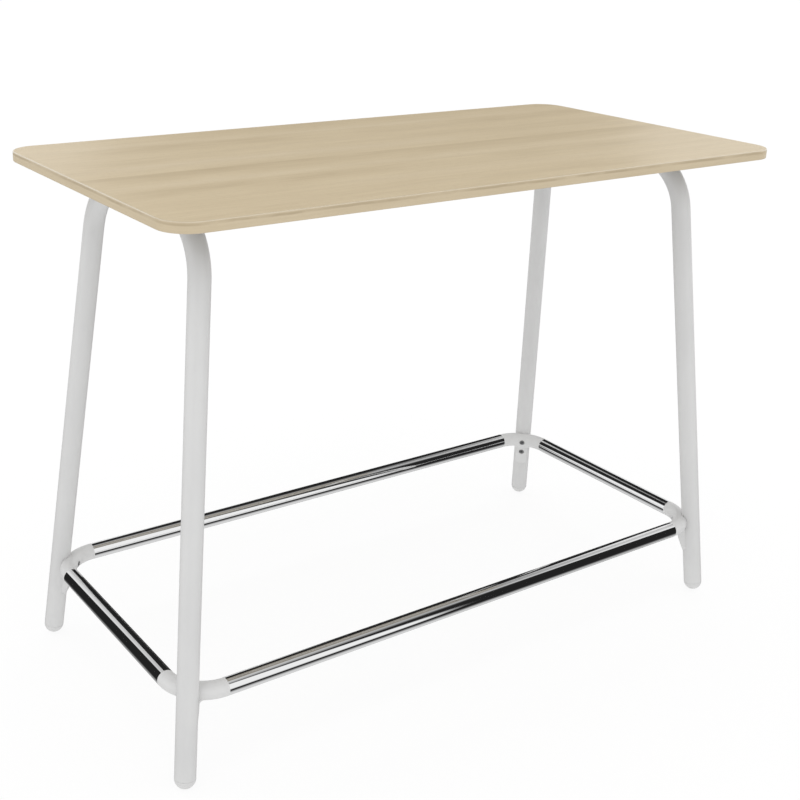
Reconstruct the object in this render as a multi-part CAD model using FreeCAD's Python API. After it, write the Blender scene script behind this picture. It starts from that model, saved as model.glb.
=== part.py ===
import FreeCAD, Part
import math
import os
from collections import namedtuple

from FreeCAD import Vector

# Standing meeting table. A laminated board stands on two end frames, each one steel tube bent into
# an upside-down U whose legs splay outwards. Two rails under the board tie the frames together at
# the top, and a chrome foot-rest ring ties the four legs together low down, through four cast
# corner fittings. Each leg ends in a plug with a screwed levelling glide.
# Millimetres. The origin is on the floor under the middle of the board, +X along its long side.

# Board
board_length = 1400.0
board_width = 700.0
table_height = 1050.0
core_thickness = 18.0
laminate_thickness = 0.5
edge_band_thickness = 2.0
edge_rounding = 1.8
board_corner_radius = 55.0

# End frames: a knee is where the lines of a leg and of the run under the board would cross
leg_diameter = 40.0
leg_wall = 2.0
knee_bend_radius = 112.0
end_overhang = 128.0
side_overhang = 147.0
splay_along = 104.0
splay_across = 105.6

# Mounting tabs welded to the outer side of each run, and what fixes them to the board
tab_thickness = 4.0
tab_width = 36.0
tab_reach = 52.0
tab_corner_radius = 8.0
tab_spacing = 130.0
tab_weld_offset = 10.0
tab_screw_inset = 16.0
tab_hole_diameter = 7.0
insert_diameter = 10.0
insert_length = 13.0
tab_screw_length = 16.0
tab_screw_head_diameter = 12.0
tab_screw_head_height = 4.0

# Rails under the board, the tongues they slide on, and their screws
rail_spacing = 150.0
rail_width = 40.0
rail_height = 25.0
rail_wall = 1.5
rail_end_gap = 3.0
tongue_length = 70.0
tongue_wall = 3.0
tongue_clearance = 0.1
rail_screw_inset = 18.0
rail_screw_pitch = 30.0
rail_screw_length = 12.0
rail_screw_head_diameter = 11.0
rail_screw_head_height = 3.5
nut_across_flats = 10.0
nut_height = 5.0
top_screw_pitch = 400.0
top_screw_count = 3
top_screw_diameter = 4.4
top_screw_length = 15.0
top_screw_head_diameter = 9.0
top_screw_head_height = 3.0
top_screw_access_diameter = 12.0

# Foot-rest ring
ring_height = 173.8
ring_outset = 5.5
bar_diameter = 34.0
bar_wall = 1.5

# Corner fittings: an elbow, two spigots and a lug that runs down the inside of the leg
elbow_radius = 80.0
spigot_length = 30.0
spigot_wall = 3.0
spigot_clearance = 0.1
spigot_chamfer = 1.5
elbow_core_turn = 26.0
saddle_clearance = 0.05
lug_thickness = 10.4
lug_width = 29.0
lug_back_depth = 6.0
lug_taper_start = 4.0
lug_tail = 43.0
lug_shoulder_radius = 25.0
lug_edge_rounding = 3.0
lug_fillet_radius = 14.0
fitting_screw_pitch = 35.0
fitting_hole_diameter = 6.6
counterbore_diameter = 13.4
fitting_screw_head_diameter = 12.0
fitting_screw_head_height = 6.0
fitting_screw_recess = 1.0
fitting_screw_reach = 14.0
screw_socket_width = 5.0
screw_socket_depth = 3.0

# M6 thread, shared by the fitting, tab and rail screws, and the rivet nuts in the legs
thread_diameter = 6.0
thread_clearance = 0.04
rivet_nut_diameter = 9.0
rivet_nut_length = 12.0
rivet_flange_diameter = 12.4
rivet_flange_thickness = 0.8
rivet_hole_clearance = 0.05

# Leg plugs and levelling glides
plug_length = 36.0
plug_clearance = 0.05
plug_insert_diameter = 12.0
plug_insert_length = 28.0
stem_diameter = 8.0
stem_running_clearance = 0.07
stem_length = 30.0
stem_root = 12.0
stem_head_diameter = 14.0
stem_head_height = 6.0
glide_seat_gap = 0.3

# Places that follow from the sizes above
leg_radius = leg_diameter / 2
bar_radius = bar_diameter / 2
board_thickness = core_thickness + 2 * laminate_thickness
board_underside = table_height - board_thickness
run_height = board_underside - leg_radius
knee_x = board_length / 2 - end_overhang
knee_y = board_width / 2 - side_overhang
foot_x = knee_x + splay_along
foot_y = knee_y + splay_across
tab_screw_x = knee_x + tab_reach - tab_screw_inset
rail_end_x = knee_x - leg_radius - rail_end_gap
rail_underside = board_underside - rail_height
tongue_width = rail_width - 2 * (rail_wall + tongue_clearance)
tongue_height = rail_height - 2 * (rail_wall + tongue_clearance)
tongue_underside = rail_underside + rail_wall + tongue_clearance
lug_face = leg_radius + lug_thickness
lug_back = leg_radius - lug_back_depth
UP = Vector(0, 0, 1)

Corner = namedtuple("Corner", "name sx sy foot up inward sideways elbow_centre screws faces")


def corner_at(name, sx, sy):
    """Lines and points of one leg: its axis, and the two screws of its fitting."""
    foot = Vector(sx * foot_x, sy * foot_y, 0)
    knee = Vector(sx * knee_x, sy * knee_y, run_height)
    up = (knee - foot).normalize()
    axis_point = foot + up * (ring_height / up.z)
    ring_corner = axis_point + Vector(sx * ring_outset, sy * ring_outset, 0)
    elbow_centre = ring_corner - Vector(sx * elbow_radius, sy * elbow_radius, 0)
    diagonal = Vector(-sx, -sy, 0).normalize()
    inward = (diagonal - up * diagonal.dot(up)).normalize()
    elbow_middle = elbow_centre - diagonal * elbow_radius
    upper_screw = foot + up * (elbow_middle - foot).dot(up)
    lower_screw = upper_screw - up * fitting_screw_pitch
    elbow_face = (elbow_middle - upper_screw).dot(inward) + bar_radius
    screws = (upper_screw, lower_screw)
    faces = (elbow_face, lug_face)
    return Corner(name, sx, sy, foot, up, inward, up.cross(inward), elbow_centre, screws, faces)


CORNERS = [
    corner_at("front_left", -1, -1),
    corner_at("front_right", 1, -1),
    corner_at("back_left", -1, 1),
    corner_at("back_right", 1, 1),
]
ENDS = {"left": -1, "right": 1}
SIDES = {"front": -1, "back": 1}
ring_x = abs(CORNERS[0].elbow_centre.x) + elbow_radius
ring_y = abs(CORNERS[0].elbow_centre.y) + elbow_radius
bar_half_length = ring_x - elbow_radius
bar_half_width = ring_y - elbow_radius


def save(node, shapes):
    """Write one node: a single solid, or a group of separate like solids."""
    solids = shapes if isinstance(shapes, list) else [shapes]
    shape = solids[0] if len(solids) == 1 else Part.makeCompound(solids)
    shape.exportStep(f"parts/{node}.step")


def rod(start, direction, diameter, length):
    """Round bar of the given length from start along direction."""
    return Part.makeCylinder(diameter / 2, length, start, direction)


def sleeve(start, direction, outer, inner, length):
    """Round tube of the given length from start along direction."""
    return rod(start, direction, outer, length).cut(rod(start, direction, inner, length))


def block(low, high):
    """Box between two opposite corners."""
    return Part.makeBox(high.x - low.x, high.y - low.y, high.z - low.z, low)


def hexagon_prism(centre, direction, across_flats, height):
    """Six-sided prism standing on centre."""
    corner_radius = across_flats / math.sqrt(3)
    points = []
    for turn in range(6):
        angle = math.radians(60 * turn)
        points.append(Vector(corner_radius * math.cos(angle), corner_radius * math.sin(angle), 0))
    prism = Part.Face(Part.makePolygon(points + points[:1])).extrude(Vector(0, 0, height))
    prism.Placement = FreeCAD.Placement(centre, FreeCAD.Rotation(UP, direction))
    return prism


def parallel_edges(shape, direction):
    """Straight edges of a shape that run along direction."""
    found = []
    for edge in shape.Edges:
        if edge.Curve.TypeId == "Part::GeomLine" and edge.tangentAt(0).cross(direction).Length < 1e-6:
            found.append(edge)
    return found


def headed_screw(seat, direction, head_diameter, head_height, length):
    """Screw whose head sits under seat and whose shank runs along direction."""
    head = rod(seat - direction * head_height, direction, head_diameter, head_height)
    return head.fuse(rod(seat, direction, thread_diameter, length)).removeSplitter()


# Board


def board_slab(inset, bottom, top):
    """Rounded rectangle as large as the board less inset, between two heights."""
    half_length = board_length / 2 - inset
    half_width = board_width / 2 - inset
    slab = block(Vector(-half_length, -half_width, bottom), Vector(half_length, half_width, top))
    return slab.makeFillet(board_corner_radius - inset, parallel_edges(slab, UP))


def tab_points():
    """Places of the mounting tabs' screws on the board's underside."""
    points = []
    for sx in ENDS.values():
        for sy in SIDES.values():
            points.append(Vector(sx * tab_screw_x, sy * tab_spacing / 2, board_underside))
    return points


def top_screw_points():
    """Places where the rails are screwed to the board's underside."""
    points = []
    for sy in SIDES.values():
        for index in range(top_screw_count):
            x = (index - (top_screw_count - 1) / 2) * top_screw_pitch
            points.append(Vector(x, sy * rail_spacing / 2, board_underside))
    return points


def top_screw_seat(point):
    """Underside of the rail's top wall, where a board screw's head sits."""
    return point - UP * rail_wall


def board_parts():
    """Core, face and backing laminates, and the edge band round them."""
    face_seam = table_height - laminate_thickness
    backing_seam = board_underside + laminate_thickness
    holes = [rod(point, UP, insert_diameter, insert_length) for point in tab_points()]
    for point in top_screw_points():
        holes.append(rod(top_screw_seat(point), UP, top_screw_diameter, top_screw_length))
    core = board_slab(edge_band_thickness, backing_seam, face_seam).cut(holes)
    face = board_slab(edge_band_thickness, face_seam, table_height)
    backing = board_slab(edge_band_thickness, board_underside, backing_seam).cut(holes)
    outside = board_slab(0, board_underside, table_height)
    rims = []
    for edge in outside.Edges:
        if abs(edge.Vertexes[0].Z - edge.Vertexes[-1].Z) < 1e-6:
            rims.append(edge)
    rounding = min(edge_rounding, 0.9 * edge_band_thickness)
    inside = board_slab(edge_band_thickness, board_underside, table_height)
    band = outside.makeFillet(rounding, rims).cut(inside)
    save("top_core", core)
    save("top_laminate", face)
    save("backing_laminate", backing)
    save("edge_band", band)


# End frames


def bent_path(points, radius):
    """Straight runs between points, joined by tangent arcs of one radius."""
    edges = []
    start = points[0]
    for before, corner, after in zip(points, points[1:], points[2:]):
        back = (before - corner).normalize()
        onward = (after - corner).normalize()
        half_angle = back.getAngle(onward) / 2
        reach = radius / math.tan(half_angle)
        middle = corner + (back + onward).normalize() * (radius / math.sin(half_angle) - radius)
        edges.append(Part.makeLine(start, corner + back * reach))
        edges.append(Part.Arc(corner + back * reach, middle, corner + onward * reach).toShape())
        start = corner + onward * reach
    edges.append(Part.makeLine(start, points[-1]))
    return Part.Wire(edges)


def swept_rod(path, start, direction, diameter):
    """Round bar that follows a path."""
    ring = Part.Wire(Part.makeCircle(diameter / 2, start, direction))
    return path.makePipeShell([ring], True, False)


def glide_centre(corner):
    """Middle of the dome that stands on the floor, on the leg's axis."""
    return corner.foot + corner.up * (leg_radius / corner.up.z)


def tube_end(corner):
    """Lower end of the leg tube, on its axis."""
    return glide_centre(corner) + corner.up * glide_seat_gap


def end_frame(front, back):
    """One tube from the front foot, over the run under the board, to the back foot."""
    front_knee = Vector(front.sx * knee_x, front.sy * knee_y, run_height)
    back_knee = Vector(back.sx * knee_x, back.sy * knee_y, run_height)
    path = bent_path([tube_end(front), front_knee, back_knee, tube_end(back)], knee_bend_radius)
    outside = swept_rod(path, tube_end(front), front.up, leg_diameter)
    bore = swept_rod(path, tube_end(front), front.up, leg_diameter - 2 * leg_wall)
    frame = outside.cut(bore)
    hole_diameter = rivet_nut_diameter + 2 * rivet_hole_clearance
    for corner in (front, back):
        for screw in corner.screws:
            frame = frame.cut(rod(screw, corner.inward, hole_diameter, leg_diameter))
    return frame


def run_cylinder(sx):
    """Outside of one run tube, for trimming what is welded to it."""
    start = Vector(sx * knee_x, -knee_y, run_height)
    return rod(start, Vector(0, 1, 0), leg_diameter, 2 * knee_y)


def mounting_tab(sx, sy):
    """Flat steel tab on the outer side of a run, its top level with the tube's top."""
    near = knee_x + tab_weld_offset
    far = knee_x + tab_reach
    middle = sy * tab_spacing / 2
    low = Vector(min(sx * near, sx * far), middle - tab_width / 2, board_underside - tab_thickness)
    high = Vector(max(sx * near, sx * far), middle + tab_width / 2, board_underside)
    tab = block(low, high)
    outer_edges = []
    for edge in parallel_edges(tab, UP):
        if abs(edge.Vertexes[0].X - sx * far) < 1e-6:
            outer_edges.append(edge)
    tab = tab.makeFillet(tab_corner_radius, outer_edges)
    hole = rod(Vector(sx * tab_screw_x, middle, low.z), UP, tab_hole_diameter, tab_thickness)
    return tab.cut([run_cylinder(sx), hole])


def end_frames():
    """Both bent tubes with their tabs, the tab screws and the inserts in the board."""
    for end, sx in ENDS.items():
        front, back = [corner for corner in CORNERS if corner.sx == sx]
        save(f"{end}_end_frame", end_frame(front, back))
        save(f"{end}_mounting_tabs", [mounting_tab(sx, sy) for sy in SIDES.values()])
    screws = []
    inserts = []
    bore_diameter = thread_diameter + 2 * thread_clearance
    for point in tab_points():
        seat = point - UP * tab_thickness
        head = (tab_screw_head_diameter, tab_screw_head_height)
        screws.append(headed_screw(seat, UP, *head, tab_screw_length))
        inserts.append(sleeve(point, UP, insert_diameter, bore_diameter, insert_length))
    save("tab_screws", screws)
    save("board_inserts", inserts)


# Rails under the board


def hollow_bar(low, high, wall):
    """Rectangular tube along X with rounded corners, open at both ends."""
    along = Vector(1, 0, 0)
    outside = block(low, high)
    step = Vector(0, wall, wall)
    bore = block(low + step, high - step)
    outside = outside.makeFillet(2 * wall, parallel_edges(outside, along))
    bore = bore.makeFillet(wall, parallel_edges(bore, along))
    return outside.cut(bore)


def rail_screw_points(sx, sy):
    """Places of the two screws at one end of a rail, on its underside."""
    points = []
    for index in range(2):
        x = rail_end_x - rail_screw_inset - index * rail_screw_pitch
        points.append(Vector(sx * x, sy * rail_spacing / 2, rail_underside))
    return points


def rail(sy):
    """Steel rail along the board, with its screw and access holes."""
    middle = sy * rail_spacing / 2
    low = Vector(-rail_end_x, middle - rail_width / 2, rail_underside)
    high = Vector(rail_end_x, middle + rail_width / 2, board_underside)
    holes = []
    for sx in ENDS.values():
        for point in rail_screw_points(sx, sy):
            hole_diameter = thread_diameter + 2 * tongue_clearance
            holes.append(rod(point, UP, hole_diameter, rail_height / 2))
    for point in top_screw_points():
        if point.y * sy > 0:
            below = point - UP * rail_height
            holes.append(rod(below, UP, top_screw_access_diameter, rail_height / 2))
            holes.append(rod(below, UP, top_screw_diameter, rail_height))
    return hollow_bar(low, high, rail_wall).cut(holes)


def rail_tongue(sx, sy):
    """Short box section welded to a run, over which a rail slides."""
    inner = knee_x - leg_radius - tongue_length
    middle = sy * rail_spacing / 2
    low = Vector(min(sx * inner, sx * knee_x), middle - tongue_width / 2, tongue_underside)
    high = Vector(max(sx * inner, sx * knee_x), middle + tongue_width / 2, 0)
    high.z = tongue_underside + tongue_height
    holes = []
    for point in rail_screw_points(sx, sy):
        hole_diameter = thread_diameter + 2 * tongue_clearance
        holes.append(rod(point, UP, hole_diameter, rail_height / 2))
    trimmed = hollow_bar(low, high, tongue_wall).cut([run_cylinder(sx)] + holes)
    pieces = [solid for solid in trimmed.Solids if abs(solid.CenterOfMass.x) < knee_x - leg_radius]
    return pieces[0]


def rails():
    """Rails, tongues, and the screws and nuts that hold them."""
    for side, sy in SIDES.items():
        save(f"{side}_rail", rail(sy))
    for end, sx in ENDS.items():
        save(f"{end}_rail_tongues", [rail_tongue(sx, sy) for sy in SIDES.values()])
    screws = []
    nuts = []
    nut_floor = tongue_underside + tongue_wall
    nut_bore = thread_diameter + 2 * thread_clearance
    for sx in ENDS.values():
        for sy in SIDES.values():
            for point in rail_screw_points(sx, sy):
                head = (rail_screw_head_diameter, rail_screw_head_height)
                screws.append(headed_screw(point, UP, *head, rail_screw_length))
                seat = Vector(point.x, point.y, nut_floor)
                nut = hexagon_prism(seat, UP, nut_across_flats, nut_height)
                nuts.append(nut.cut(rod(seat, UP, nut_bore, nut_height)))
    top_screws = []
    for point in top_screw_points():
        seat = top_screw_seat(point)
        below = seat - UP * top_screw_head_height
        head = rod(below, UP, top_screw_head_diameter, top_screw_head_height)
        shank = rod(seat, UP, top_screw_diameter, top_screw_length)
        top_screws.append(head.fuse(shank).removeSplitter())
    save("rail_screws", screws)
    save("rail_nuts", nuts)
    save("board_screws", top_screws)


# Foot-rest ring


def foot_bars():
    """Two long and two short chrome tubes between the corner fittings."""
    bore = bar_diameter - 2 * bar_wall
    for side, sy in SIDES.items():
        start = Vector(-bar_half_length, sy * ring_y, ring_height)
        bar = sleeve(start, Vector(1, 0, 0), bar_diameter, bore, 2 * bar_half_length)
        save(f"{side}_foot_bar", bar)
    for end, sx in ENDS.items():
        start = Vector(sx * ring_x, -bar_half_width, ring_height)
        bar = sleeve(start, Vector(0, 1, 0), bar_diameter, bore, 2 * bar_half_width)
        save(f"{end}_foot_bar", bar)


def elbow_ends(corner):
    """Start and outward direction of the two straight ends of a fitting."""
    centre = corner.elbow_centre
    long_end = centre + Vector(0, corner.sy * elbow_radius, 0)
    short_end = centre + Vector(corner.sx * elbow_radius, 0, 0)
    return [(long_end, Vector(-corner.sx, 0, 0)), (short_end, Vector(0, -corner.sy, 0))]


def elbow_arc(corner, diameter, skip):
    """Quarter of a ring of round section, less an angle at each end of its middle part."""
    start_turn = math.degrees(math.atan2(corner.sy, corner.sx)) - 45
    arc = Part.makeTorus(elbow_radius, diameter / 2, Vector(), UP, 0, 360, 90 - skip)
    arc.rotate(Vector(), UP, start_turn)
    arc.translate(corner.elbow_centre)
    return arc


def elbow_cores(corner, diameter):
    """Hollows that run from each spigot into the elbow, up to its solid middle."""
    first = elbow_arc(corner, diameter, 90 - elbow_core_turn)
    second = first.copy()
    second.rotate(corner.elbow_centre, UP, 90 - elbow_core_turn)
    cores = [first, second]
    for start, direction in elbow_ends(corner):
        cores.append(rod(start, direction, diameter, spigot_length))
    return cores


def lug_block(corner):
    """Tongue down the leg's inside, thinning towards its round tail."""
    half_width = lug_width / 2
    top = fitting_screw_pitch
    round_centre = -(lug_tail - half_width)
    right = [Vector(0, half_width, round_centre), Vector(0, half_width, top)]
    left = [Vector(0, -point.y, point.z) for point in right]
    outline = [
        Part.Arc(left[0], Vector(0, 0, -lug_tail), right[0]).toShape(),
        Part.makeLine(right[0], right[1]),
        Part.makeLine(right[1], left[1]),
        Part.makeLine(left[1], left[0]),
    ]
    front = Part.Face(Part.Wire(outline)).extrude(Vector(lug_face + leg_radius, 0, 0))
    taper = lug_thickness / (lug_tail - lug_taper_start)
    crown = Vector(lug_face, 0, top)
    shoulder = Vector(lug_face, 0, -lug_taper_start)
    tip = Vector(leg_radius - taper * half_width, 0, -lug_tail - half_width)
    back = [tip, Vector(lug_back, 0, tip.z), Vector(lug_back, 0, top), crown]
    profile = bent_path([crown, shoulder, tip], lug_shoulder_radius).Edges
    side = Part.Face(Part.Wire(profile + Part.makePolygon(back).Edges))
    side.translate(Vector(0, -lug_width, 0))
    lug = front.common(side.extrude(Vector(0, 2 * lug_width, 0)))
    rims = []
    for edge in lug.Edges:
        middle = edge.valueAt((edge.FirstParameter + edge.LastParameter) / 2)
        on_face = middle.x > leg_radius + 0.1 and middle.z < top - 0.1
        across = abs(middle.y) < 0.1
        if on_face and not across:
            rims.append(edge)
    lug = lug.makeFillet(lug_edge_rounding, rims)
    turn = FreeCAD.Rotation(corner.inward, corner.sideways, corner.up, "ZXY")
    lug.Placement = FreeCAD.Placement(corner.screws[1], turn)
    return lug


def on_elbow(corner, point):
    """Whether a point lies on the outside of the elbow's round section."""
    offset = point - corner.elbow_centre
    from_ring = math.hypot(offset.x, offset.y) - elbow_radius
    return abs(math.hypot(from_ring, offset.z) - bar_radius) < 0.001


def elbow_with_lug(corner):
    """Elbow and lug in one casting, filleted where the lug leaves the elbow's underside."""
    body = elbow_arc(corner, bar_diameter, 0).fuse(lug_block(corner)).removeSplitter()
    seam = []
    for edge in body.Edges:
        middle = edge.valueAt((edge.FirstParameter + edge.LastParameter) / 2)
        offset = middle - corner.screws[1]
        beside_lug = abs(offset.dot(corner.sideways)) < lug_width / 2 + 0.1
        before_back = offset.dot(corner.inward) > lug_back + 0.1
        if beside_lug and before_back and on_elbow(corner, middle):
            seam.append(edge)
    return body.makeFillet(lug_fillet_radius, seam)


def corner_fitting(corner):
    """Cast elbow with spigots and lug, cut to sit round the leg, with its screw holes."""
    spigot_diameter = bar_diameter - 2 * bar_wall - 2 * spigot_clearance
    core_diameter = spigot_diameter - 2 * spigot_wall
    body = elbow_with_lug(corner)
    for start, direction in elbow_ends(corner):
        spigot = rod(start, direction, spigot_diameter, spigot_length)
        tip = start + direction * spigot_length
        tip_edges = [edge for edge in spigot.Edges if edge.BoundBox.Center.distanceToPoint(tip) < 1e-3]
        spigot = spigot.makeChamfer(spigot_chamfer, tip_edges)
        body = body.fuse(spigot)
    body = body.removeSplitter().cut(elbow_cores(corner, core_diameter))
    leg_start = corner.foot + corner.up * leg_radius
    saddle_diameter = leg_diameter + 2 * saddle_clearance
    body = body.cut(rod(leg_start, corner.up, saddle_diameter, 2 * ring_height))
    recess_diameter = rivet_flange_diameter + 2 * spigot_clearance
    recess_depth = leg_radius + rivet_flange_thickness + saddle_clearance
    for screw, face in zip(corner.screws, corner.faces):
        floor = screw_floor(face)
        body = body.cut([
            rod(screw, corner.inward, fitting_hole_diameter, face + bar_radius),
            rod(screw, corner.inward, recess_diameter, recess_depth),
            rod(screw + corner.inward * floor, corner.inward, counterbore_diameter, bar_diameter),
        ])
    return max(body.Solids, key=lambda solid: solid.Volume)


def screw_floor(face):
    """Distance from the leg's axis to the seat of a recessed screw head."""
    return face - fitting_screw_head_height - fitting_screw_recess


def fitting_screw(corner, screw, face):
    """Socket-head screw through the fitting into the rivet nut in the leg."""
    floor = screw_floor(face)
    seat = screw + corner.inward * floor
    outward = corner.inward * -1
    length = floor - leg_radius + fitting_screw_reach
    head = (fitting_screw_head_diameter, fitting_screw_head_height)
    body = headed_screw(seat, outward, *head, length)
    top = seat + corner.inward * fitting_screw_head_height
    return body.cut(hexagon_prism(top, outward, screw_socket_width, screw_socket_depth))


def rivet_nut(corner, screw):
    """Threaded sleeve set in the leg's wall, with a thin flange on the outside."""
    outward = corner.inward * -1
    flange_top = screw + corner.inward * (leg_radius + rivet_flange_thickness)
    flange = rod(flange_top, outward, rivet_flange_diameter, rivet_flange_thickness)
    body = rod(flange_top, outward, rivet_nut_diameter, rivet_flange_thickness + rivet_nut_length)
    bore = thread_diameter + 2 * thread_clearance
    through = rod(flange_top, outward, bore, rivet_flange_thickness + rivet_nut_length)
    return flange.fuse(body).removeSplitter().cut(through)


def corner_fittings():
    """Four fittings with their screws and the rivet nuts in the legs."""
    upper_screws = []
    lower_screws = []
    nuts = []
    for corner in CORNERS:
        save(f"corner_fitting_{corner.name}", corner_fitting(corner))
        upper_screws.append(fitting_screw(corner, corner.screws[0], corner.faces[0]))
        lower_screws.append(fitting_screw(corner, corner.screws[1], corner.faces[1]))
        for screw in corner.screws:
            nuts.append(rivet_nut(corner, screw))
    save("fitting_screws_upper", upper_screws)
    save("fitting_screws_lower", lower_screws)
    save("leg_rivet_nuts", nuts)


# Plugs and glides


def leg_plug(corner):
    """Round plug in the end of a leg, bored for its threaded insert."""
    diameter = leg_diameter - 2 * leg_wall - 2 * plug_clearance
    return sleeve(tube_end(corner), corner.up, diameter, plug_insert_diameter, plug_length)


def plug_insert(corner):
    """Threaded insert in the plug that takes the glide's stem."""
    bore = stem_diameter + 2 * stem_running_clearance
    return sleeve(tube_end(corner), corner.up, plug_insert_diameter, bore, plug_insert_length)


def glide_stem(corner):
    """Threaded stem with a head that is moulded into the dome."""
    root = glide_centre(corner) - corner.up * stem_root
    head = rod(root, corner.up, stem_head_diameter, stem_head_height)
    shank = rod(root, corner.up, stem_diameter, stem_root + stem_length)
    return head.fuse(shank).removeSplitter()


def glide_dome(corner):
    """Half ball as wide as the leg, which stands on the floor."""
    dome = Part.makeSphere(leg_radius, glide_centre(corner), corner.up, -90, 0, 360)
    return dome.cut(glide_stem(corner))


def feet():
    """Plug, insert, dome and stem of each leg."""
    for corner in CORNERS:
        save(f"leg_plug_{corner.name}", leg_plug(corner))
        save(f"glide_dome_{corner.name}", glide_dome(corner))
        save(f"glide_stem_{corner.name}", glide_stem(corner))
    save("plug_inserts", [plug_insert(corner) for corner in CORNERS])


os.makedirs("parts", exist_ok=True)
board_parts()
end_frames()
rails()
foot_bars()
corner_fittings()
feet()
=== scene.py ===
import math
from collections import namedtuple

import bmesh
import bpy
from mathutils import Euler, Matrix, Vector


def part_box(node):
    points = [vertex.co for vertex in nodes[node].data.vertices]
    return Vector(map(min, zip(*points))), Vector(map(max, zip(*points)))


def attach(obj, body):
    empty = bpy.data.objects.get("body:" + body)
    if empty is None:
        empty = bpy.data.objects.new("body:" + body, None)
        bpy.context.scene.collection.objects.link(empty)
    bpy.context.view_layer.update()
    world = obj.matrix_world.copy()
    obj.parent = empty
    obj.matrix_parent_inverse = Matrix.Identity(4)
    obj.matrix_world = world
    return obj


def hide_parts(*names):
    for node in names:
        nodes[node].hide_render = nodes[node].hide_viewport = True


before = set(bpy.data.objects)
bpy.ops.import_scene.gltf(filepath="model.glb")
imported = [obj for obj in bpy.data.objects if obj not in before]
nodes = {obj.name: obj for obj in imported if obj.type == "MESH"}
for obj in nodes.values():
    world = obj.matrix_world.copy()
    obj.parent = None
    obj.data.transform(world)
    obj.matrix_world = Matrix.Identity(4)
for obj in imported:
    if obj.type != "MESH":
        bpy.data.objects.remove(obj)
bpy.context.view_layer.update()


# Board: a particleboard core between two sheets of light oak laminate.
# The sheets are pressed on in one go, so that the board stays flat, and the face is matt.

oak_ground = (0.723, 0.603, 0.412, 1)
oak_streak = (0.571, 0.457, 0.292, 1)
oak_pale = (0.742, 0.627, 0.449, 1)
backing_ground = (0.325, 0.298, 0.250, 1)
backing_streak = (0.292, 0.262, 0.212, 1)
backing_pale = (0.350, 0.325, 0.278, 1)
chip_ground = (0.42, 0.30, 0.17, 1)
chip_dark = (0.20, 0.13, 0.07, 1)
laminate_roughness = 0.50
laminate_gloss = 0.25
overcoat_share = 0.20
overcoat_roughness = 0.15
backing_roughness = 0.50
chip_roughness = 0.85
chips_per_metre = 420.0
chip_relief = 0.0004
print_relief = 0.00006
face_pores = 0.9
backing_pores = 0.3
backing_figure = 0.1

# Print of the oak: the clouds per metre of each layer along X, Y and Z, and how much it shows.
# Where a name stands for several numbers, they are a ramp's low, high, start and end.
wander_clouds = (3.2, 7.0, 1.0)
growth_clouds = (0.9, 24.0, 1.0)
streak_clouds = (6.5, 52.0, 8.0)
fibre_clouds = (5.0, 330.0, 40.0)
pale_clouds = (1.1, 24.0, 1.0)
pore_clouds = (60.0, 1100.0, 60.0)
grain_wander = 0.022
ring_turn_per_metre = 300.0
ring_turn_by_growth = 60.0
dark_growth = (0.45, 0.80, 0.0, 0.3)
pale_growth = (0.52, 0.80, 0.0, 0.5)
open_pores = (0.60, 0.70)
streak_share = 0.70
ring_share = 0.03
fibre_share = 0.9
fibre_gloss = 0.18
fibre_relief = 0.4
print_lift = 0.14

# Bands of the planks: where each lies across and along the board, and how strong it is.
GrainBand = namedtuple("GrainBand", "middle half_width start end strength")
grain_bands = [
    GrainBand(0.215, 0.034, -0.58, -0.14, 0.36),
    GrainBand(0.210, 0.038, 0.33, 0.72, 0.36),
    GrainBand(0.200, 0.022, 0.05, 0.30, 0.16),
    GrainBand(0.105, 0.024, -0.60, -0.48, 0.20),
    GrainBand(0.100, 0.030, 0.10, 0.66, 0.16),
    GrainBand(0.330, 0.040, -0.25, 0.72, 0.20),
    GrainBand(-0.145, 0.032, -0.66, -0.14, 0.36),
    GrainBand(-0.140, 0.030, 0.12, 0.52, 0.24),
    GrainBand(-0.260, 0.024, -0.62, -0.40, 0.16),
    GrainBand(-0.300, 0.026, 0.00, 0.40, 0.14),
]
pale_bands = [
    GrainBand(0.262, 0.020, -0.60, 0.60, 0.40),
    GrainBand(0.055, 0.030, -0.62, 0.20, 0.40),
    GrainBand(-0.092, 0.018, -0.66, 0.60, 0.50),
    GrainBand(-0.215, 0.030, -0.30, 0.40, 0.30),
]
drift_clouds = (4.0, 6.0, 1.0)
band_drift = 0.03
band_edge = 1.3
band_core = 0.2
band_end_fade = 0.07
break_clouds = (7.0, 34.0, 1.0)
band_breaks = (0.32, 0.62, 0.50, 1.10)
seam_width = 0.075
seam_core = 0.2
seam_softness = 0.0012
seam_clouds = (4.0, 30.0, 1.0)
seam_patches = (0.35, 0.65, 0.30, 0.48)


def add_node(tree, kind, inputs=None, **settings):
    """Shader node with its settings, and with values or links on its inputs."""
    node = tree.nodes.new(kind)
    for name, value in settings.items():
        setattr(node, name, value)
    for key, value in (inputs or {}).items():
        if isinstance(value, bpy.types.NodeSocket):
            tree.links.new(value, node.inputs[key])
        else:
            node.inputs[key].default_value = value
    return node


def calc(tree, operation, first, second=0.0, third=0.0):
    """Result of one sum."""
    terms = {0: first, 1: second, 2: third}
    return add_node(tree, "ShaderNodeMath", terms, operation=operation).outputs[0]


def ramp(tree, value, low, high, start=0.0, end=1.0):
    """Value that goes smoothly from start to end while the input goes from low to high."""
    terms = {"Value": value, "From Min": low, "From Max": high, "To Min": start, "To Max": end}
    return add_node(tree, "ShaderNodeMapRange", terms, interpolation_type="SMOOTHSTEP").outputs[0]


def mix_colour(tree, share, first, second):
    """Colour between two others."""
    terms = {0: share, 6: first, 7: second}
    return add_node(tree, "ShaderNodeMix", terms, data_type="RGBA").outputs[2]


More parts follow.
